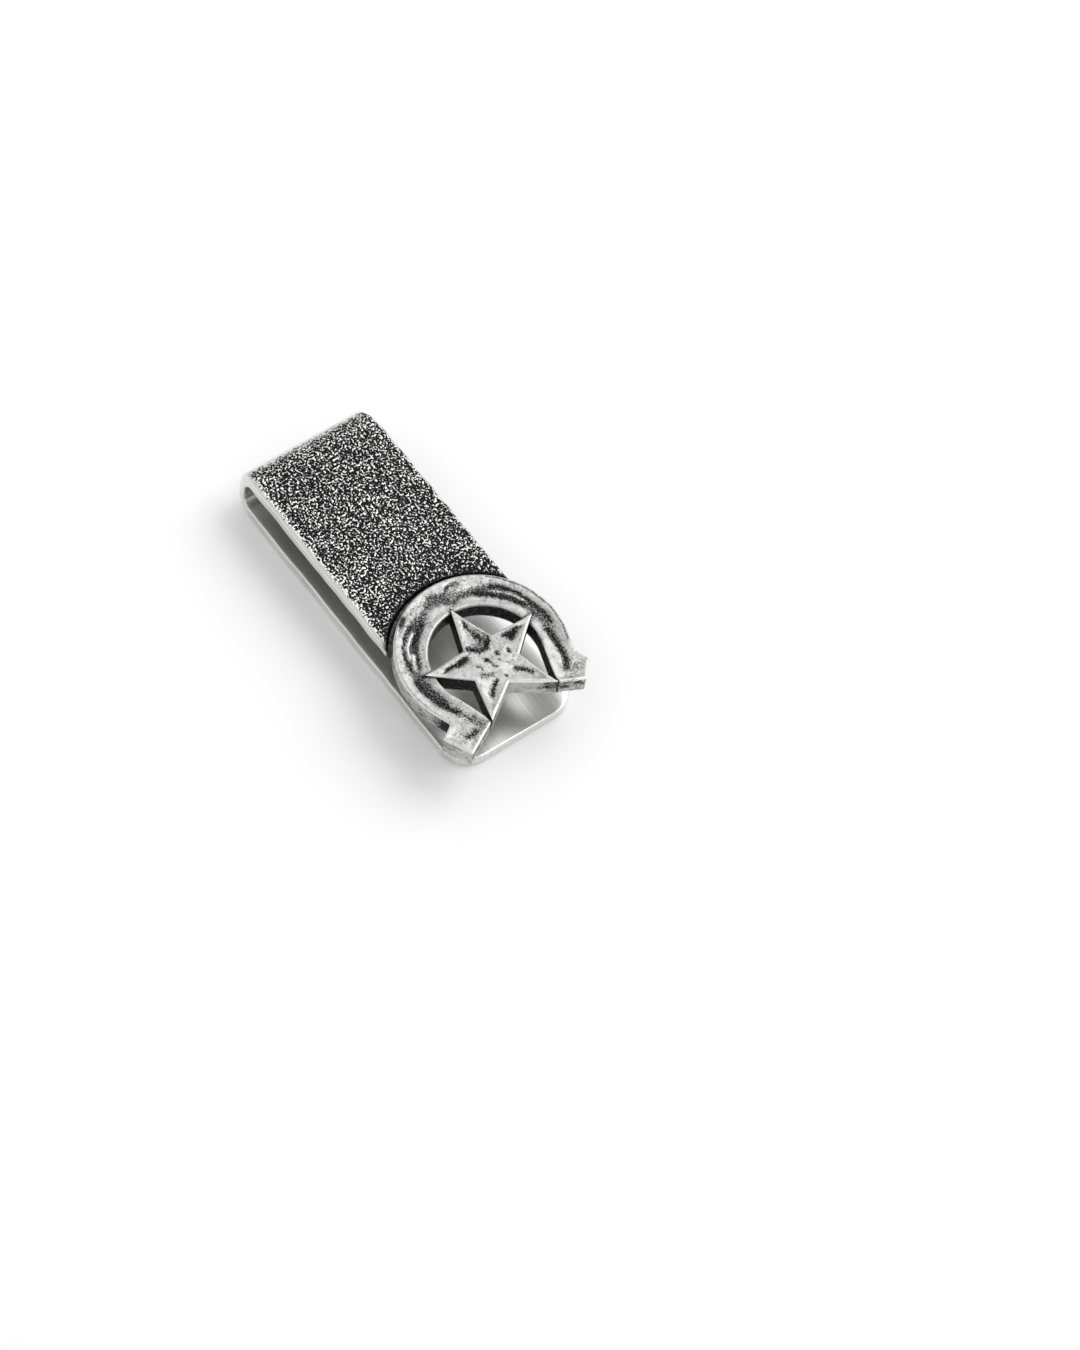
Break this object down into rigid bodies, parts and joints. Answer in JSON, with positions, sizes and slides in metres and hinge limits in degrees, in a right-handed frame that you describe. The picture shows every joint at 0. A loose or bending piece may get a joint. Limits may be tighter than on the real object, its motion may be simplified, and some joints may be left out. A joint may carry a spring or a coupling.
{
  "type": "money clip",
  "caption": "Sprung money clip: a wide textured metal strip bent into a U, its front leaf ending in a soldered horseshoe with a five-pointed star set in the opening.",
  "frame": {"origin": "centre of the flat underside of the rear leaf, on the strip's centre line", "axes": "+X from the bend towards the horseshoe's heels, +Y across the strip, +Z from the rear leaf to the front leaf"},
  "size_m": [0.0504, 0.0227, 0.0093],
  "materials": {
    "textured_strip": "reticulated and oxidised, bright high spots on near-black recesses",
    "polished_casting": "hammered and polished, oxidised in the hollows",
    "solder": "dark oxidised seam"
  },
  "bodies": {
    "rear": {"rear_leaf": "textured_strip"},
    "front": {"front_leaf": "textured_strip", "horseshoe": "polished_casting", "star": "polished_casting", "toe_solder": "solder", "star_solder_toe": "solder", "star_solder_left_side": "solder", "star_solder_left_heel": "solder", "star_solder_right_heel": "solder", "star_solder_right_side": "solder"}
  },
  "joints": [
    {"name": "spring_flex", "type": "hinge", "parent": "rear", "child": "front", "pos_m": [-0.02492, 0, 0.004], "axis": [0, -1, 0], "range_deg": [-4.5, 6], "stiffness_Nm_per_rad": 1}
  ]
}
